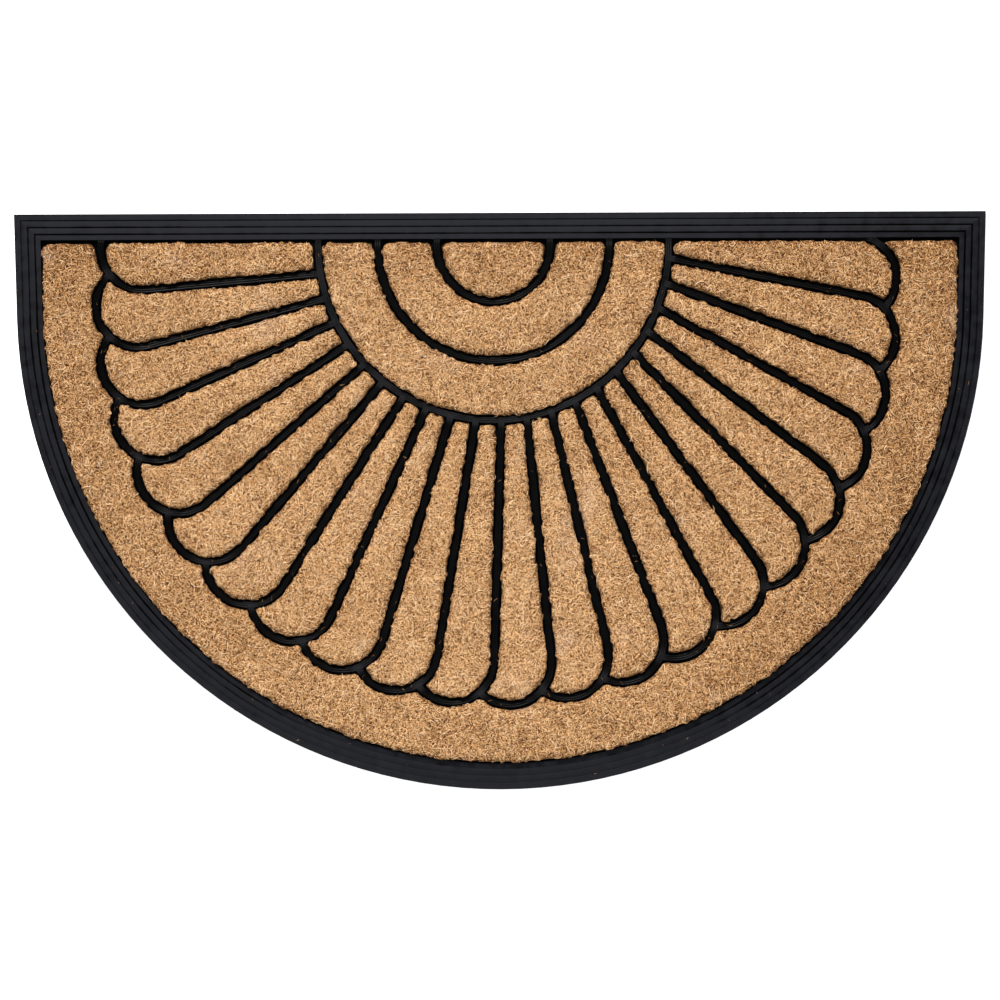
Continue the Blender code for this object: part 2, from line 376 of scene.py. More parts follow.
def pad_depth(points, outline):
    """How deep each point lies inside a pad, its corners at the straight edge rounded, and the edge's way."""
    depth, way = depth_inside(points, outline)
    for x, inwards in rim_corners(outline):
        offset = points[:, :2] - np.array([x + inwards * CORNER_ROUNDING, COIR_EDGE_Y - CORNER_ROUNDING])
        along = -inwards * offset[:, 0]
        reach = np.maximum(np.linalg.norm(offset, axis=1), SAME_POINT)
        round_depth = CORNER_ROUNDING - reach
        beyond = (along > 0) & (along < 2 * CORNER_ROUNDING) & (offset[:, 1] > 0) & (round_depth < depth)
        depth[beyond] = round_depth[beyond]
        way[beyond] = (np.stack([-offset[:, 1], offset[:, 0]], axis=1) / reach[:, None])[beyond]
    return depth, way


def edge_wander(points):
    """How far back from its outline a pad's edge stands at each point, or below zero how far out."""
    back = np.full(len(points), EDGE_BACK)
    for seed, (size, reach) in enumerate(WANDERS, start=WANDER_SEED):
        back += reach * soft_noise(points, size, seed)
    return back


def coir_depth(points, outline):
    """How deep each point lies inside a pad's ragged edge, and the way of the outline there."""
    depth, way = pad_depth(points, outline)
    return depth - edge_wander(points), way


def left_of(way):
    """Unit vectors to the left of others, which is inwards on an outline that runs anticlockwise."""
    return np.stack([-way[:, 1], way[:, 0]], axis=1)


def coir_height(points, depth):
    """Height of the matted coir at each point: lumpy on top, and rounded off towards the pad's edge."""
    height = np.full(len(points), MATTING_TOP)
    for seed, (size, rise) in enumerate(LUMPS):
        height += rise * soft_noise(points, size, seed)
    edge = np.clip(1 - depth / EDGE_ROUNDING, 0, DEEPEST_EDGE)
    return height - EDGE_DROP * edge**2


def finished(name, mesh, material):
    """The mesh as a piece that rides on the mat."""
    piece = bpy.data.objects.new(name, mesh)
    bpy.context.scene.collection.objects.link(piece)
    mesh.materials.append(material)
    mesh.shade_smooth()
    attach(piece, "root")
    return piece


def pad_solid(node):
    """A merged copy of one coir pad, with its flat faces whole again."""
    bm = bmesh.new()
    bm.from_mesh(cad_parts[node].data)
    bmesh.ops.remove_doubles(bm, verts=bm.verts, dist=SAME_POINT)
    bmesh.ops.dissolve_limit(bm, angle_limit=FLAT, verts=bm.verts, edges=bm.edges)
    return bm


def pad_outline(bm):
    """The corners of the pad's lower face, anticlockwise as seen from above."""
    lowest = min(bm.faces, key=lambda face: face.calc_center_median().z)
    return np.array([vert.co.xy for vert in reversed(lowest.verts[:])])


def cut_across(bm, axis, places):
    """Cuts all of the pad but its underside at each place along an axis."""
    normal = Vector((0, 0, 0))
    normal[axis] = 1
    for place in places:
        faces = [face for face in bm.faces if face.normal.z > FACING_DOWN]
        geom = bm.verts[:] + bm.edges[:] + faces
        bmesh.ops.bisect_plane(bm, geom=geom, dist=SAME_POINT, plane_co=normal * place, plane_no=normal)


def matting(node, material):
    """The pad's body: a fine, lumpy copy of the solid with soft, wandering edges, and its outline."""
    bm = pad_solid(node)
    outline = pad_outline(bm)
    low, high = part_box(node)
    for axis in (0, 1):
        cut_across(bm, axis, np.arange(low[axis] + MATTING_CELL / 2, high[axis], MATTING_CELL))
    places = np.array([vert.co for vert in bm.verts])
    depth, way = pad_depth(places, outline)
    places[:, :2] += np.clip(-depth, 0, None)[:, None] * left_of(way)
    upper = places[:, 2] > (low.z + high.z) / 2
    raised, depth, way = places[upper], depth[upper], way[upper]
    back = edge_wander(raised)
    raised[:, 2] = coir_height(raised, depth - back)
    share = np.clip(1 - depth / WANDER_REACH, 0, 1)
    raised[:, :2] += (share * back)[:, None] * left_of(way)
    for axis in (0, 1):
        raised[:, axis] += MATTING_JITTER * soft_noise(raised, 2 * MATTING_CELL, JITTER_SEED + axis)
    places[upper] = raised
    for vert, place in zip(bm.verts, places):
        vert.co = place
    mesh = bpy.data.meshes.new(f"{node}_matting")
    bm.to_mesh(mesh)
    bm.free()
    piece = finished(f"{node}_matting", mesh, material)
    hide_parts(node)
    return piece, outline


def spindle_faces(rings):
    """Triangles of a strand that runs from a point through three-sided rings to a point."""
    last = 3 * rings + 1
    faces = []
    for side in range(3):
        following = (side + 1) % 3
        faces.append((0, 1 + side, 1 + following))
        for ring in range(rings - 1):
            here = 1 + 3 * ring
            faces.append((here + side, here + 3 + side, here + following))
            faces.append((here + following, here + 3 + side, here + 3 + following))
        faces.append((last - 3 + side, last, last - 3 + following))
    return np.array(faces)


def strand_mesh(name, paths, across, outward, width, tone):
    """Joined strands, each along its own path: tapered to both ends and three-sided, with a tone of its own.

    paths is (strand, point, xyz); across and outward are unit vectors for every point of every path.
    """
    count, points = paths.shape[:2]
    rings = points - 2
    half = width[:, None, None] / 2
    back = paths[:, 1:-1] + STRAND_BACK * half * outward[:, 1:-1]
    foot = paths[:, 1:-1] - STRAND_FOOT * half * outward[:, 1:-1]
    left = foot + half * across[:, 1:-1]
    right = foot - half * across[:, 1:-1]
    ring_points = np.stack([back, left, right], axis=2).reshape(count, 3 * rings, 3)
    places = np.concatenate([paths[:, :1], ring_points, paths[:, -1:]], axis=1)
    per_strand = 3 * rings + 2
    template = spindle_faces(rings)
    faces = template[None] + per_strand * np.arange(count)[:, None, None]
    mesh = bpy.data.meshes.new(name)
    mesh.vertices.add(count * per_strand)
    mesh.vertices.foreach_set("co", places.astype(np.float32).ravel())
    mesh.loops.add(faces.size)
    mesh.loops.foreach_set("vertex_index", faces.astype(np.int32).ravel())
    mesh.polygons.add(faces.size // 3)
    mesh.polygons.foreach_set("loop_start", np.arange(0, faces.size, 3, dtype=np.int32))
    mesh.update(calc_edges=True)
    shade = mesh.attributes.new("tone", "FLOAT", "POINT")
    shade.data.foreach_set("value", np.repeat(tone, per_strand).astype(np.float32))
    return mesh


def joined(name, meshes):
    """Several meshes made into one."""
    bm = bmesh.new()
    for mesh in meshes:
        bm.from_mesh(mesh)
    whole = bpy.data.meshes.new(name)
    bm.to_mesh(whole)
    bm.free()
    for mesh in meshes:
        bpy.data.meshes.remove(mesh)
    return whole


def curl_paths(centres, turn, length, bend, points):
    """Flat curled paths: each one turns by its bend from end to end, with its middle on its centre."""
    steps = points - 1
    shares = (np.arange(steps) + 0.5) / steps - 0.5
    ways = turn[:, None] + bend[:, None] * shares
    hops = np.stack([np.cos(ways), np.sin(ways)], axis=2) * (length / steps)[:, None, None]
    line = np.concatenate([np.zeros((len(centres), 1, 2)), np.cumsum(hops, axis=1)], axis=1)
    return line - line.mean(axis=1, keepdims=True) + centres[:, None, :2]


def random_tones(rng, count):
    """Shade of each strand, from 0, dark brown, to 1, straw: most are tan, some pale, and some dark, partly
    as painted shade of holes between fibres.
    """
    tone = rng.normal(*USUAL_TONE, count)
    pick = rng.uniform(0, 1, count)
    tone = np.where(pick < DARK_SHARE, rng.normal(*DARK_TONE, count), tone)
    tone = np.where(pick > 1 - PALE_SHARE, rng.normal(*PALE_TONE, count), tone)
    return np.clip(tone, 0, 1)


def kept_in(flat, outline, slack):
    """Moves each path inwards until nothing of it reaches past the pad's edge by more than its slack."""
    count, points = flat.shape[:2]
    depth, way = coir_depth(flat.reshape(-1, 2), outline)
    depth = depth.reshape(count, points)
    outermost = depth.argmin(axis=1)
    each = np.arange(count)
    lack = np.clip(-depth[each, outermost] - slack, 0, None)
    inwards = left_of(way).reshape(count, points, 2)[each, outermost]
    return flat + (lack[:, None] * inwards)[:, None]


def scattered(rng, outline, count):
    """Random points inside an outline, with their depths and the way of the nearest edge."""
    low = outline.min(axis=0)
    high = outline.max(axis=0)
    found = [np.zeros((0, 2)), np.zeros(0), np.zeros((0, 2))]
    while len(found[0]) < count:
        points = rng.uniform(low, high, (2 * count, 2))
        depth, way = coir_depth(points, outline)
        kept = depth > LEAST_DEPTH
        found = [np.concatenate([a, b[kept]]) for a, b in zip(found, (points, depth, way))]
    return [values[:count] for values in found]


def strand_sides(paths):
    """Unit vectors level across each path, and upwards from it, at all its points."""
    ahead = np.gradient(paths, axis=1)
    across = np.stack([-ahead[:, :, 1], ahead[:, :, 0], np.zeros(paths.shape[:2])], axis=2)
    across /= np.linalg.norm(across, axis=2, keepdims=True)
    outward = np.cross(ahead, across)
    return across, outward / np.linalg.norm(outward, axis=2, keepdims=True)


def top_strands(name, rng, outline, count, points, usual, curl, paler):
    """Strands that lie in the pad's upper face, those at its edge running more or less along it.

    points is how many each is drawn through, usual their usual length, curl how much they bend, and
    paler what lifts their tone.
    """
    centres, depth, way = scattered(rng, outline, count)
    turn = rng.uniform(0, math.tau, count)
    beside_edge = np.arctan2(way[:, 1], way[:, 0]) + rng.normal(0, EDGE_TURN, count)
    tone = np.clip(random_tones(rng, count) + paler, 0, 1)
    length = np.clip(rng.lognormal(math.log(usual), TOP_LENGTH_SPREAD, count), *TOP_LENGTHS)
    dark = tone < DARK_UNDER
    length *= np.where(dark, DARK_LENGTH, 1.0)
    near_edge = depth < NEAR_EDGE * length
    turn = np.where(near_edge, beside_edge, turn)
    bend = rng.normal(0, curl, count)
    flat = curl_paths(centres, turn, length, bend, points)
    flat = kept_in(flat, outline, rng.exponential(EDGE_SLACK, count))
    share = np.linspace(0, 1, points)
    lift = rng.uniform(*TOP_LIFTS, count) + DARK_LIFT * dark
    arch = rng.uniform(*TOP_ARCHES, count)
    flat_points = flat.reshape(-1, 2)
    path_depth, _ = coir_depth(flat_points, outline)
    height = coir_height(flat_points, path_depth).reshape(count, points)
    height += lift[:, None] + arch[:, None] * (4 * share * (1 - share) - 0.5)
    paths = np.concatenate([flat, height[:, :, None]], axis=2)
    across, outward = strand_sides(paths)
    width = rng.uniform(*TOP_WIDTHS, count)
    return strand_mesh(name, paths, across, outward, width, tone)


def along_edge(rng, outline, count):
    """Random points on a pad's ragged edge, with the edge's way and the way out there."""
    run = np.roll(outline, -1, axis=0) - outline
    reach = np.linalg.norm(run, axis=1)
    pick = rng.choice(len(run), count, p=reach / reach.sum())
    points = outline[pick] + rng.uniform(0, 1, (count, 1)) * run[pick]
    depth, way = pad_depth(points, outline)
    out = -left_of(way)
    back = edge_wander(points) - np.minimum(depth, 0)
    return points - back[:, None] * out, way, out


def side_strands(name, rng, outline, count):
    """Strands that lie along the pad's upright sides."""
    centres, way, out = along_edge(rng, outline, count)
    length = rng.uniform(*SIDE_LENGTHS, count)
    tilt = rng.normal(0, SIDE_TILT, count)
    level = rng.uniform(*SIDE_LEVELS, count)
    share = np.linspace(-0.5, 0.5, 3)
    hop = (length * np.cos(tilt))[:, None, None] * share[None, :, None] * way[:, None, :]
    bow = rng.uniform(*SIDE_BOWS, count)[:, None, None] * (1 - 4 * share**2)[None, :, None] * out[:, None, :]
    flat = centres[:, None, :] + hop + bow
    height = level[:, None] + (length * np.sin(tilt))[:, None] * share[None, :]
    paths = np.concatenate([flat, height[:, :, None]], axis=2)
    outward = np.repeat(np.concatenate([out, np.zeros((count, 1))], axis=1)[:, None], 3, axis=1)
    across = np.zeros((count, 3, 3))
    across[:, :, 2] = 1
    width = rng.uniform(*SIDE_WIDTHS, count)
    # Painted shade on the upright sides
    return strand_mesh(name, paths, across, outward, width, SIDE_STRAND_SHADE * random_tones(rng, count))


def stray_strands(name, rng, outline, count):
    """Loose fibres that lean out from just inside the pad's edge, and droop towards the rubber."""
    edge, _, out = along_edge(rng, outline, count)
    turn = np.arctan2(out[:, 1], out[:, 0]) + rng.normal(0, STRAY_TURN, count)
    bend = rng.normal(0, STRAY_CURL, count)
    length = np.clip(rng.lognormal(math.log(STRAY_LENGTH), STRAY_LENGTH_SPREAD, count), *STRAY_LENGTHS)
    flat = curl_paths(edge - STRAY_BACK * length[:, None] * out, turn, length, bend, STRAY_POINTS)
    depth, _ = coir_depth(flat.reshape(-1, 2), outline)
    over = np.clip(-depth, 0, None)
    rest = coir_height(flat.reshape(-1, 2), np.clip(depth, 0, None)) + STRAY_LIFT
    height = np.maximum(rest - STRAY_DROOP * over**STRAY_DROOP_POWER, STRAY_LOWEST)
    paths = np.concatenate([flat, height.reshape(count, STRAY_POINTS, 1)], axis=2)
    across, outward = strand_sides(paths)
    width = rng.uniform(*STRAY_WIDTHS, count)
    return strand_mesh(name, paths, across, outward, width, rng.uniform(*STRAY_TONES, count))


def area_of(outline):
    """Area inside a closed outline."""
    x, y = outline.T
    return abs(x @ np.roll(y, -1) - y @ np.roll(x, -1)) / 2


def pad_strands(node, outline, material, seed):
    """The loose coir of one pad, in one or more joined pieces."""
    rng = np.random.default_rng((STRAND_SEED, seed))
    whole = int(STRANDS_PER_SQUARE_METRE * area_of(outline))
    around = np.linalg.norm(np.roll(outline, -1, axis=0) - outline, axis=1).sum()
    batches = math.ceil(whole / MOST_STRANDS)
    count = whole // batches
    pieces = []
    for batch in range(batches):
        meshes = [
            top_strands("top_strands", rng, outline, int(share * count), *kind)
            for share, *kind in STRAND_KINDS
        ]
        meshes += [
            side_strands("side_strands", rng, outline, int(SIDE_STRANDS_PER_METRE * around / batches)),
            stray_strands("stray_strands", rng, outline, int(STRAYS_PER_METRE * around / batches)),
        ]
        name = f"{node}_strands_{batch + 1}"
        pieces.append(finished(name, joined(name, meshes), material))
    return pieces


def height_above(tree, places):
    """Height of the surface of a mesh's tree under each place."""
    return np.array([tree.ray_cast(Vector((x, y, 1.0)), Vector((0, 0, -1)))[0].z for x, y in places])


def lint(rubber, ribs, material):
    """Short ends of coir that have fallen on the rim and on the ribs."""
    bm = bmesh.new()
    for piece in rubber:
        bm.from_mesh(piece.data)
    tree = BVHTree.FromBMesh(bm)
    bm.free()
    rng = np.random.default_rng((STRAND_SEED, len(COIR_NODES)))
    angle = rng.uniform(-math.pi, 0, RIM_LINT)
    reach = ARC_RADIUS - RIM_WIDTH * rng.uniform(*RIM_LINT_PLACES, RIM_LINT)
    on_rim = reach[:, None] * np.stack([np.cos(angle), np.sin(angle)], axis=1) + np.array(ARC_CENTRE)
    on_ribs = rng.choice(np.array([point for path in ribs for point in path]), RIB_LINT)
    on_ribs += rng.normal(0, RIB_LINT_SPREAD, (RIB_LINT, 2))
    count = RIM_LINT + RIB_LINT
    turn = rng.uniform(0, math.tau, count)
    rim_lengths = rng.uniform(*RIM_LINT_LENGTHS, RIM_LINT)
    length = np.concatenate([rim_lengths, rng.uniform(*RIB_LINT_LENGTHS, RIB_LINT)])
    bend = rng.normal(0, LINT_CURL, count)
    flat = curl_paths(np.concatenate([on_rim, on_ribs]), turn, length, bend, LINT_POINTS)
    width = rng.uniform(*LINT_WIDTHS, count)
    height = height_above(tree, flat.reshape(-1, 2)).reshape(count, LINT_POINTS)
    paths = np.concatenate([flat, (height + LINT_RISE * width[:, None])[:, :, None]], axis=2)
    across, outward = strand_sides(paths)
    tone = np.concatenate([rng.uniform(*RIM_LINT_TONES, RIM_LINT), rng.uniform(*RIB_LINT_TONES, RIB_LINT)])
    mesh = strand_mesh("coir_lint", paths, across, outward, width, tone)
    return finished("coir_lint", mesh, material)


def shader_tree(name):
    """A new material, its node tree and its Principled shader."""
    material = bpy.data.materials.new(name)
    material.use_nodes = True
    return material, material.node_tree, material.node_tree.nodes["Principled BSDF"]


def noise(tree, vector, scale, detail=2.0):
    """A noise texture's value."""
    node = tree.nodes.new("ShaderNodeTexNoise")
    node.inputs["Scale"].default_value = scale
    node.inputs["Detail"].default_value = detail
    tree.links.new(vector, node.inputs["Vector"])
    return node.outputs["Fac"]


def sum_node(tree, operation, *values):
    """The result of one sum on sockets or numbers."""
    node = tree.nodes.new("ShaderNodeMath")
    node.operation = operation
    for socket, value in zip(node.inputs, values):
        if isinstance(value, (int, float)):
            socket.default_value = value
        else:
            tree.links.new(value, socket)
    return node.outputs["Value"]


def swayed(tree, start, texture, swing):
    """A value moved up and down by a texture, over the width of its swing."""
    moved = sum_node(tree, "MULTIPLY_ADD", texture, swing, -swing / 2)
    return sum_node(tree, "ADD", start, moved)


def ramp(tree, factor, stops):
    """A colour ramp with stops of (place, colour)."""
    node = tree.nodes.new("ShaderNodeValToRGB")
    elements = node.color_ramp.elements
    while len(elements) < len(stops):
        elements.new(0.5)
    for element, (place, colour) in zip(elements, stops):
        element.position = place
        element.color = (*colour, 1.0)
    tree.links.new(factor, node.inputs["Fac"])
    return node.outputs["Color"]


def object_coordinates(tree):
    """The piece's own coordinates, in metres."""
    return tree.nodes.new("ShaderNodeTexCoord").outputs["Object"]


def bump(tree, height, depth, shader):
    """Raises the surface by a height from 0 to 1 times a depth in metres."""
    node = tree.nodes.new("ShaderNodeBump")
    node.inputs["Distance"].default_value = depth
    node.inputs["Strength"].default_value = 1.0
    tree.links.new(height, node.inputs["Height"])
    tree.links.new(node.outputs["Normal"], shader.inputs["Normal"])


def between(tree, value, start, full):
    """How far a value has come from start to full, eased, from 0 to 1."""
    node = tree.nodes.new("ShaderNodeMapRange")
    node.interpolation_type = "SMOOTHSTEP"
    node.inputs["From Min"].default_value = start
    node.inputs["From Max"].default_value = full
    tree.links.new(value, node.inputs["Value"])
    return node.outputs["Result"]


def split_up(tree, here):
    """The X, Y and Z of a place."""
    split = tree.nodes.new("ShaderNodeSeparateXYZ")
    tree.links.new(here, split.inputs["Vector"])
    return split.outputs["X"], split.outputs["Y"], split.outputs["Z"]


def middle(tree, here):
    """From 1 in the middle of the mat to 0 at its left and right ends."""
    aside = sum_node(tree, "ABSOLUTE", sum_node(tree, "SUBTRACT", split_up(tree, here)[0], MIDDLE_X))
    return between(tree, aside, *MIDDLE_REACH)


def painted_light_falloff(tree, here, shade):
    """A shade with painted light falloff: paler in a band over the petals and in the middle of the mat, and
    darker in the border and along the straight edge.
    """
    away = tree.nodes.new("ShaderNodeVectorMath")
    away.operation = "DISTANCE"
    away.inputs[1].default_value = (*ENVELOPE_CENTRE, COIR_TOP)
    tree.links.new(here, away.inputs[0])
    reach = away.outputs["Value"]
    # Painted light falloff across the mat
    past = between(tree, reach, *LIGHT_BAND_FROM)
    band = sum_node(tree, "MULTIPLY", past, between(tree, reach, *LIGHT_BAND_TO))
    near_edge = between(tree, split_up(tree, here)[1], *STRAIGHT_EDGE_REACH)
    shade = sum_node(tree, "MULTIPLY_ADD", band, LIGHT_BAND_PALER, shade)
    shade = sum_node(tree, "MULTIPLY_ADD", between(tree, reach, *BORDER_REACH), -BORDER_PAINTED_SHADE, shade)
    shade = sum_node(tree, "MULTIPLY_ADD", middle(tree, here), MIDDLE_PAINTED_LIGHT, shade)
    return sum_node(tree, "MULTIPLY_ADD", near_edge, -STRAIGHT_EDGE_PAINTED_SHADE, shade)


def coir_colour(tree, here, shade, shader):
    """Colours the coir by its shade, with painted shade in the hollows and where the pads' edges curve down,
    and with bleached patches.
    """
    # Painted shade, deepest where the coir lies lowest
    raised = between(tree, split_up(tree, here)[2], *HOLLOW_SHADE_REACH)
    sunk = sum_node(tree, "SUBTRACT", shade, HOLLOW_PAINTED_SHADE)
    shaded = sum_node(tree, "MULTIPLY_ADD", raised, HOLLOW_PAINTED_SHADE, sunk)
    patches = between(tree, noise(tree, here, BLEACHED_SCALE), *BLEACHED_REACH)
    mix = tree.nodes.new("ShaderNodeMix")
    mix.data_type = "RGBA"
    tree.links.new(sum_node(tree, "MULTIPLY", patches, BLEACHED_SHARE), mix.inputs["Factor"])
    tree.links.new(ramp(tree, painted_light_falloff(tree, here, shaded), COIR_SHADES), mix.inputs["A"])
    mix.inputs["B"].default_value = (*BLEACHED, 1.0)
    tree.links.new(mix.outputs["Result"], shader.inputs["Base Color"])


def strand_material():
    """Coir fibre: each strand has its own shade, and slow patches are darker or paler."""
    material, tree, shader = shader_tree("coir_strands")
    here = object_coordinates(tree)
    tone = tree.nodes.new("ShaderNodeAttribute")
    tone.attribute_name = "tone"
    shade = tone.outputs["Fac"]
    for scale, swing in (PATCHES, TUFTS, STREAKS):
        shade = swayed(tree, shade, noise(tree, here, scale), swing)
    coir_colour(tree, here, shade, shader)
    shader.inputs["Roughness"].default_value = STRAND_ROUGHNESS
    shader.inputs["Specular IOR Level"].default_value = STRAND_SPECULAR
    return material


def strokes(tree, here, patch, length, width, shift):
    """Fine parallel strokes whose direction changes from patch to patch, from 0 to 1."""
    moved = tree.nodes.new("ShaderNodeMapping")
    moved.inputs["Location"].default_value = (shift, 2 * shift, 0)
    tree.links.new(here, moved.inputs["Vector"])
    cells = tree.nodes.new("ShaderNodeTexVoronoi")
    cells.voronoi_dimensions = "2D"
    cells.inputs["Scale"].default_value = 1 / patch
    tree.links.new(moved.outputs["Vector"], cells.inputs["Vector"])
    split = tree.nodes.new("ShaderNodeSeparateColor")
    tree.links.new(cells.outputs["Color"], split.inputs["Color"])
    turned = tree.nodes.new("ShaderNodeVectorRotate")
    turned.rotation_type = "Z_AXIS"
    tree.links.new(moved.outputs["Vector"], turned.inputs["Vector"])
    tree.links.new(sum_node(tree, "MULTIPLY", split.outputs["Red"], math.pi), turned.inputs["Angle"])
    stretched = tree.nodes.new("ShaderNodeMapping")
    stretched.inputs["Scale"].default_value = (1 / length, 1 / width, 1 / width)
    tree.links.new(turned.outputs["Vector"], stretched.inputs["Vector"])
    return noise(tree, stretched.outputs["Vector"], 1.0, 1.0)


def matting_material():
    """Matted coir between the loose strands: short strokes every way, kept darker than the strands, with dark
    gaps, as painted shade under and between the fibres.
    """
    material, tree, shader = shader_tree("coir_matting")
    here = object_coordinates(tree)
    weave = sum_node(tree, "MAXIMUM", *[strokes(tree, here, *sizes) for sizes in STROKES])
    shade = sum_node(tree, "MULTIPLY_ADD", weave, STROKE_CONTRAST, STROKE_SHIFT)
    scale, swing = PATCHES
    coir_colour(tree, here, swayed(tree, shade, noise(tree, here, scale), swing), shader)
    bump(tree, weave, STROKE_DEPTH, shader)
    shader.inputs["Roughness"].default_value = MATTING_ROUGHNESS
    shader.inputs["Specular IOR Level"].default_value = MATTING_SPECULAR
    return material


def rim_depth(tree, here):
    """Distance inwards from the mat's outer edge, in metres."""
    x, y, _ = split_up(tree, here)
    offset = sum_node(tree, "SUBTRACT", y, ARC_CENTRE.y)
    below = sum_node(tree, "MINIMUM", offset, 0.0)
    above = sum_node(tree, "MAXIMUM", offset, 0.0)
    square = sum_node(tree, "MULTIPLY_ADD", x, x, sum_node(tree, "MULTIPLY", below, below))
    reach = sum_node(tree, "SQRT", square)
    lean = (HIGH.x - ARC_RADIUS) / (HIGH.y - ARC_CENTRE.y)
    width = sum_node(tree, "MULTIPLY_ADD", above, lean, ARC_RADIUS)
    round_depth = sum_node(tree, "SUBTRACT", width, reach)
    return sum_node(tree, "MINIMUM", round_depth, sum_node(tree, "SUBTRACT", STRAIGHT_EDGE_Y, y))


def rim_groove_shade(tree, depth):
    """How much painted shade lies in the grooves at the foot of each of the rim's strips: the more, the
    further in.
    """
    pitch = math.tau / GROOVE_STEP
    turns = sum_node(tree, "MULTIPLY_ADD", depth, pitch, GROOVE_SHIFT * pitch)
    waves = between(tree, sum_node(tree, "COSINE", turns), GROOVE_FROM, 1.0)
    inside = between(tree, depth, GROOVE_STEP / 3, GROOVE_STEP / 2)
    darker = sum_node(tree, "MULTIPLY", depth, GROOVE_SHADE_INWARDS)
    return sum_node(tree, "MULTIPLY", sum_node(tree, "MULTIPLY", waves, inside), darker)


def rubber_material(name, shades, roughness, less_dust_and_shade_inside):
    """Moulded black rubber: dustier in patches, with painted light where it stands high, painted shade
    towards the mat's ends and in the rim's grooves, and lines along the rim.

    The last argument is how much darker it is inside the rim: partly less dust, partly painted shade.
    """
    material, tree, shader = shader_tree(name)
    here = object_coordinates(tree)
    _, y, z = split_up(tree, here)
    dust_and_light = swayed(tree, DUST, noise(tree, here, DUST_SCALE, DUST_DETAIL), DUST_SWING)
    # Painted light where the ribs stand high
    dust_and_light = sum_node(tree, "MULTIPLY_ADD", between(tree, z, *RAISED), RAISED_PAINTED_LIGHT, dust_and_light)
    # Painted shade: darker towards the left and right ends
    aside = sum_node(tree, "SUBTRACT", middle(tree, here), 1.0)
    dust_and_light = sum_node(tree, "MULTIPLY_ADD", aside, SIDES_PAINTED_SHADE, dust_and_light)
    depth = rim_depth(tree, here)
    # Darker inside the rim: partly less dust, partly painted shade down between the pads
    inner = between(tree, depth, RIM_WIDTH, RIM_WIDTH + CROWN_INTO_RIM)
    dust_and_light = sum_node(tree, "MULTIPLY_ADD", inner, -less_dust_and_shade_inside, dust_and_light)
    on_rim = between(tree, depth, *ON_RIM)
    # Painted shade in the rim's grooves, patchy, and fading out towards the foot of the arc
    deep = sum_node(tree, "MULTIPLY_ADD", noise(tree, here, GROOVE_SCALE), GROOVE_SWING, GROOVE_LEAST)
    deep = sum_node(tree, "MULTIPLY", deep, between(tree, y, *GROOVES_FADE))
    groove_shade = sum_node(tree, "MULTIPLY", sum_node(tree, "MULTIPLY", rim_groove_shade(tree, depth), deep), on_rim)
    dust_and_shade = sum_node(tree, "SUBTRACT", dust_and_light, groove_shade)
    tree.links.new(ramp(tree, dust_and_shade, shades), shader.inputs["Base Color"])
    grain = noise(tree, here, GRAIN_SCALE)
    matt = sum_node(tree, "MULTIPLY_ADD", dust_and_shade, DUST_MATT, roughness - DUST_MATT * DUST)
    tree.links.new(swayed(tree, matt, grain, GRAIN_MATT), shader.inputs["Roughness"])
    turns = sum_node(tree, "MULTIPLY", depth, math.tau / RIM_LINE_STEP)
    lines = sum_node(tree, "MULTIPLY", sum_node(tree, "SINE", turns), RIM_LINE_BUMP)
    lines = sum_node(tree, "MULTIPLY", lines, on_rim)
    bump(tree, swayed(tree, lines, grain, GRAIN_BUMP), RUBBER_BUMP, shader)
    shader.inputs["Specular IOR Level"].default_value = RUBBER_SPECULAR
    return material


def arc(centre, radius, start, end):
    """Points on a circle from one angle to another, either way round, both ends included."""
    count = max(1, math.ceil(abs(end - start) / CROWN_STEP))
    angles = [start + (end - start) * i / count for i in range(count + 1)]
    return [centre + radius * Vector((math.cos(a), math.sin(a))) for a in angles]


def angle_of(vector):
    """The angle of a direction, in radians from +X."""
    return math.atan2(vector.y, vector.x)


def downwards(angle):
    """Unit vector at an angle counted clockwise from the right."""
    return Vector((math.cos(angle), -math.sin(angle)))


def across_level(centre, radius, height):
    """Half the width of a circle at a height."""
    return math.sqrt(radius**2 - (height - centre.y) ** 2)


def tip_centre(k):
    """Centre of the curve at the end of ray k."""
    reach = ENVELOPE_RADIUS - TIP_RADIUS
    if k == 0:
        height = COIR_EDGE_Y - (TIP_RADIUS - LINE_HALF)
        return Vector((ENVELOPE_CENTRE.x + across_level(ENVELOPE_CENTRE, reach, height), height))
    return ENVELOPE_CENTRE + reach * downwards(TIP_FIRST + k * TIP_SPACING)


def next_meeting(k):
    """Where the curve of tip k runs into the next one."""
    here, after = tip_centre(k), tip_centre(k + 1)
    gap = after - here
    out = Vector((-gap.y, gap.x)).normalized() * math.sqrt(TIP_RADIUS**2 - gap.length_squared / 4)
    halfway = (here + after) / 2
    return max(halfway + out, halfway - out, key=lambda meeting: (meeting - FAN_CENTRE).length)


def ray_foot(k):
    """Where ray k leaves the middle of the outermost ring's rib."""
    return FAN_CENTRE + RING_RADII[-1] * downwards(RAY_FIRST + k * RAY_SPACING)


def junction_lift(point, junctions):
    """How much higher a rib stands where it is close to a junction."""
    nearest = min((point - junction).length for junction in junctions)
    return JUNCTION_LIFT * smooth_step(max(0.0, 1 - nearest / JUNCTION_REACH))


def rim_angle(centre):
    """The angle at which a tip's curve has just run under the rim."""
    return math.asin((RIM_EDGE_Y + CROWN_PAST_RIM - centre.y) / TIP_RADIUS)


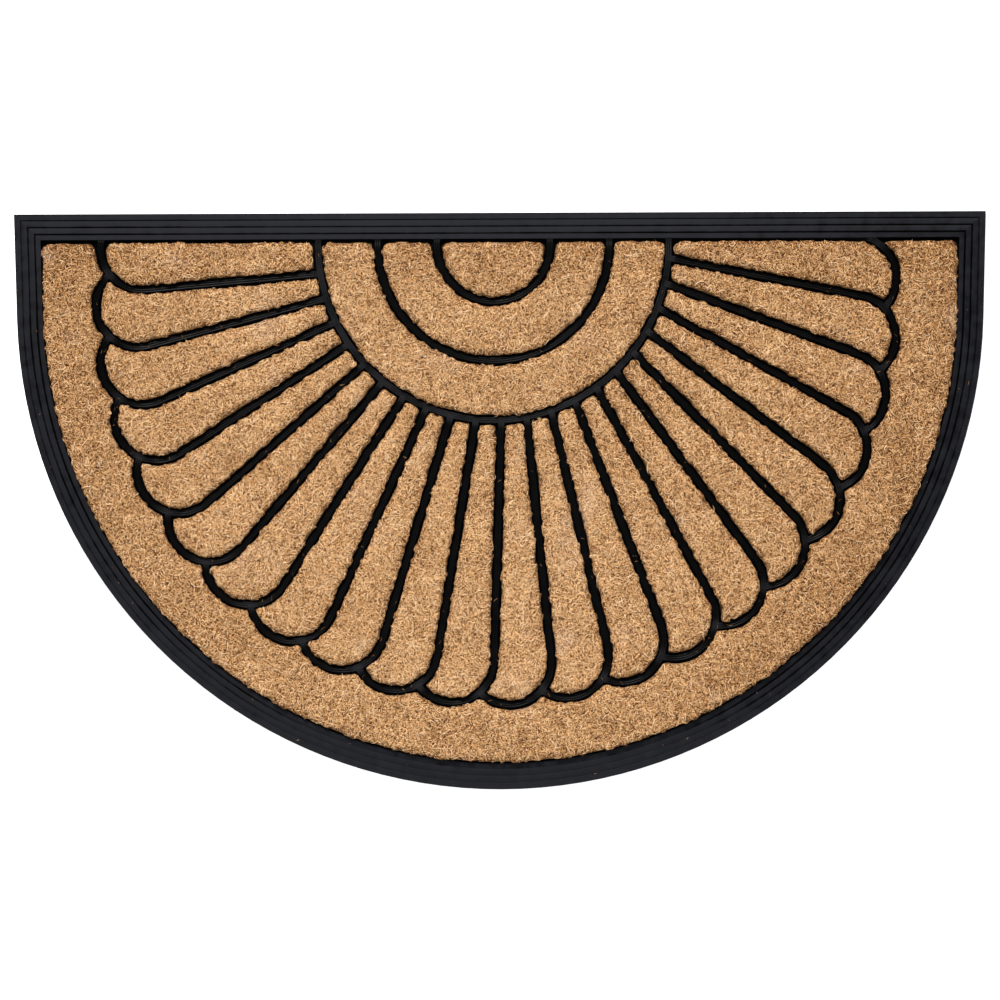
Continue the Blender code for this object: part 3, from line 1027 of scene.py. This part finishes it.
def ray_path(k):
    """Middle of one ray's rib: straight out from the last ring, and round its tip to the next rib."""
    centre = tip_centre(k)
    if k == 0:
        line = []
        start = rim_angle(centre)
    else:
        foot = ray_foot(k)
        to_centre = centre - foot
        way = to_centre.copy()
        way.rotate(Matrix.Rotation(math.asin(TIP_RADIUS / to_centre.length), 2))
        way.normalize()
        reach = math.sqrt(to_centre.length_squared - TIP_RADIUS**2)
        line = [foot + way * along for along in np.arange(0, reach - RAY_STEP / 2, RAY_STEP)]
        start = angle_of(Vector((-way.y, way.x)))
    if k == PETAL_COUNT - 1:
        end = math.pi - rim_angle(centre)
    else:
        end = angle_of(next_meeting(k) - centre)
    return line + arc(centre, TIP_RADIUS, start, start - (start - end) % math.tau)


def ring_path(radius):
    """Middle of one ring's rib, from rim to rim."""
    height = RIM_EDGE_Y + CROWN_PAST_RIM
    start = math.atan2(height - FAN_CENTRE.y, across_level(FAN_CENTRE, radius, height))
    return arc(FAN_CENTRE, radius, start, -math.pi - start)


def crown_section():
    """Outline across a rib's crown: low beads over a buried foot.

    Each bead has its own lowest points, and shares none with the next, so that a crease parts them.
    """
    half = RIB_WIDTH / 2
    beads = [(-half, 0.0)]
    for side in (-1, 0, 1):
        for offset, height in BEAD_PROFILE:
            beads.append(((side + offset) * BEAD_SPACING, height))
    beads.append((half, 0.0))
    return [(-half, -CROWN_FOOT)] + beads + [(half, -CROWN_FOOT)]


def swept(bm, path, heights, section):
    """A closed bar with one section all along a path."""
    frames = []
    for i, (point, height) in enumerate(zip(path, heights)):
        ahead = (path[min(i + 1, len(path) - 1)] - path[max(i - 1, 0)]).normalized()
        across = (-ahead.y, 0, ahead.x, point.x)
        along = (ahead.x, 0, ahead.y, point.y)
        frames.append(Matrix((across, along, (0, 1, 0, height), (0, 0, 0, 1))))
    end = bm.faces.new([bm.verts.new(frames[0] @ Vector((side, up, 0))) for side, up in section])
    edges = end.edges[:]
    for before, after in zip(frames, frames[1:]):
        made = bmesh.ops.extrude_edge_only(bm, edges=edges)["geom"]
        edges = [item for item in made if isinstance(item, bmesh.types.BMEdge)]
        verts = [item for item in made if isinstance(item, bmesh.types.BMVert)]
        bmesh.ops.transform(bm, matrix=after @ before.inverted(), verts=verts)
    bmesh.ops.edgeloop_fill(bm, edges=edges)


def rim_sink(point):
    """How far a crown sinks into its rib where it comes close to the rim."""
    beyond = (point.y - RIM_EDGE_Y) / CROWN_SINK_REACH + 1
    return CROWN_SINK * smooth_step(min(max(beyond, 0.0), 1.0))


def cut_at_rim(bm):
    """Cuts off what reaches into the rim, and closes the cuts."""
    edge = Vector((0, RIM_EDGE_Y + CROWN_INTO_RIM, 0))
    geom = bm.verts[:] + bm.edges[:] + bm.faces[:]
    facing = Vector((0, 1, 0))
    bmesh.ops.bisect_plane(bm, geom=geom, dist=SAME_POINT, plane_co=edge, plane_no=facing, clear_outer=True)
    bmesh.ops.holes_fill(bm, edges=[item for item in bm.edges if item.is_boundary], sides=0)


def crowns(name, paths, lifts, junctions, material):
    """The beaded crowns of several ribs, as one piece, raised a little near the junctions."""
    bm = bmesh.new()
    for path, lift in zip(paths, lifts):
        lifts_here = [max(lift, junction_lift(point, junctions)) for point in path]
        heights = [RIB_TOP + rise - rim_sink(point) for point, rise in zip(path, lifts_here)]
        swept(bm, path, heights, crown_section())
    cut_at_rim(bm)
    bmesh.ops.recalc_face_normals(bm, faces=bm.faces)
    mesh = bpy.data.meshes.new(name)
    bm.to_mesh(mesh)
    bm.free()
    return finished(name, mesh, material)


def is_sharp(edge):
    """Whether an edge of the moulding's upper side is one that a mould leaves rounded."""
    if not (edge.is_manifold and edge.is_convex):
        return False
    return edge.calc_face_angle() > SHARP_CORNER and min(vert.co.z for vert in edge.verts) > ROUNDED_ABOVE


def moulding(material):
    """The rubber moulding: a merged copy of the solid with its upper corners rounded."""
    bm = bmesh.new()
    bm.from_mesh(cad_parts[RUBBER_NODE].data)
    bmesh.ops.remove_doubles(bm, verts=bm.verts, dist=SAME_POINT)
    bmesh.ops.dissolve_limit(bm, angle_limit=NEARLY_FLAT, verts=bm.verts, edges=bm.edges)
    rib_level = RIB_TOP - SAME_POINT
    for lowest, highest, rounding in ((rib_level, HIGH.z, RIB_ROUNDING), (0.0, rib_level, RIM_ROUNDING)):
        sharp = [edge for edge in bm.edges if is_sharp(edge)]
        chosen = [edge for edge in sharp if lowest <= min(vert.co.z for vert in edge.verts) < highest]
        bmesh.ops.bevel(
            bm,
            geom=chosen,
            offset=rounding,
            segments=ROUNDING_SEGMENTS,
            profile=0.5,
            affect="EDGES",
            clamp_overlap=True,
            material=-1,
        )
    mesh = bpy.data.meshes.new("rubber_moulding")
    bm.to_mesh(mesh)
    bm.free()
    piece = finished("rubber_moulding", mesh, material)
    mesh.set_sharp_from_angle(angle=SMOOTH_UNDER)
    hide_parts(RUBBER_NODE)
    return piece


def floor():
    """The pale floor that the mat lies on, so bright that it fades to white."""
    bm = bmesh.new()
    bmesh.ops.create_grid(bm, x_segments=1, y_segments=1, size=FLOOR_SIZE / 2)
    mesh = bpy.data.meshes.new("floor")
    bm.to_mesh(mesh)
    bm.free()
    piece = bpy.data.objects.new("floor", mesh)
    bpy.context.scene.collection.objects.link(piece)
    piece.location.z = -FLOOR_GAP
    material, _, shader = shader_tree("white_floor")
    shader.inputs["Base Color"].default_value = (*FLOOR_COLOUR, 1.0)
    shader.inputs["Roughness"].default_value = FLOOR_ROUGHNESS
    shader.inputs["Emission Color"].default_value = (1.0, 1.0, 1.0, 1.0)
    shader.inputs["Emission Strength"].default_value = FLOOR_GLOW
    mesh.materials.append(material)


def key_light():
    """One lamp from beyond the straight edge, a little to the left."""
    lamp = bpy.data.lights.new("key", "SUN")
    lamp.energy = KEY_STRENGTH
    lamp.angle = KEY_SPREAD
    lamp.color = KEY_COLOUR
    made = bpy.data.objects.new("key", lamp)
    bpy.context.scene.collection.objects.link(made)
    level = math.cos(KEY_HEIGHT)
    source = Vector((level * math.cos(KEY_BEARING), level * math.sin(KEY_BEARING), math.sin(KEY_HEIGHT)))
    made.rotation_mode = "QUATERNION"
    made.rotation_quaternion = source.to_track_quat("Z", "Y")


def studio():
    """Soft light from all round, with a dark patch overhead where the camera hangs."""
    world = bpy.data.worlds.new("studio")
    world.use_nodes = True
    tree = world.node_tree
    split = tree.nodes.new("ShaderNodeSeparateXYZ")
    tree.links.new(tree.nodes.new("ShaderNodeTexCoord").outputs["Generated"], split.inputs["Vector"])
    level = tree.nodes.new("ShaderNodeMapRange")
    level.interpolation_type = "SMOOTHSTEP"
    level.inputs["From Min"].default_value = OVERHEAD_FROM
    level.inputs["From Max"].default_value = OVERHEAD_FULL
    level.inputs["To Min"].default_value = FILL_LEVEL
    level.inputs["To Max"].default_value = FILL_OVERHEAD
    tree.links.new(split.outputs["Z"], level.inputs["Value"])
    background = tree.nodes["Background"]
    background.inputs["Color"].default_value = (*FILL_COLOUR, 1.0)
    tree.links.new(level.outputs["Result"], background.inputs["Strength"])
    bpy.context.scene.world = world


def camera():
    """A camera straight above the mat, far away and a trace turned, as in the photograph."""
    lens = bpy.data.cameras.new("camera")
    lens.lens = lens.sensor_width * CAMERA_HEIGHT / PICTURE_WIDTH
    lens.clip_end = 3 * CAMERA_HEIGHT
    made = bpy.data.objects.new("camera", lens)
    made.location = (*PICTURE_CENTRE, CAMERA_HEIGHT + PICTURE_PLANE)
    made.rotation_euler.z = PICTURE_TURN
    bpy.context.scene.collection.objects.link(made)
    bpy.context.scene.camera = made


def mat():
    """The whole doormat: the moulding with its crowned ribs, and every pad of coir."""
    rim_rubber = rubber_material("rim_rubber", RIM_SHADES, RIM_ROUGHNESS, INNER_LESS_DUST_AND_SHADE)
    rib_rubber = rubber_material("rib_rubber", RIB_SHADES, RIB_ROUGHNESS, 0.0)
    matted = matting_material()
    fibre = strand_material()
    base = moulding(rim_rubber)
    junctions = [next_meeting(k) for k in range(PETAL_COUNT - 1)]
    junctions += [ray_foot(k) for k in range(1, PETAL_COUNT)]
    junctions.append(tip_centre(0) + TIP_RADIUS * downwards(-FIRST_TIP_JUNCTION))
    rings = [ring_path(radius) for radius in RING_RADII]
    rays = [ray_path(k) for k in range(PETAL_COUNT)]
    ring_crowns = crowns("ring_crowns", rings, RING_LIFTS, junctions, rib_rubber)
    ray_crowns = crowns("ray_crowns", rays, [0.0] * PETAL_COUNT, junctions, rib_rubber)
    pieces = [ring_crowns, ray_crowns, lint((base, ring_crowns, ray_crowns), rings + rays, fibre)]
    for seed, node in enumerate(COIR_NODES):
        body, outline = matting(node, matted)
        pieces += [body] + pad_strands(node, outline, fibre, seed)


bpy.context.scene.view_settings.view_transform = "Standard"
camera()
key_light()
studio()
floor()
mat()
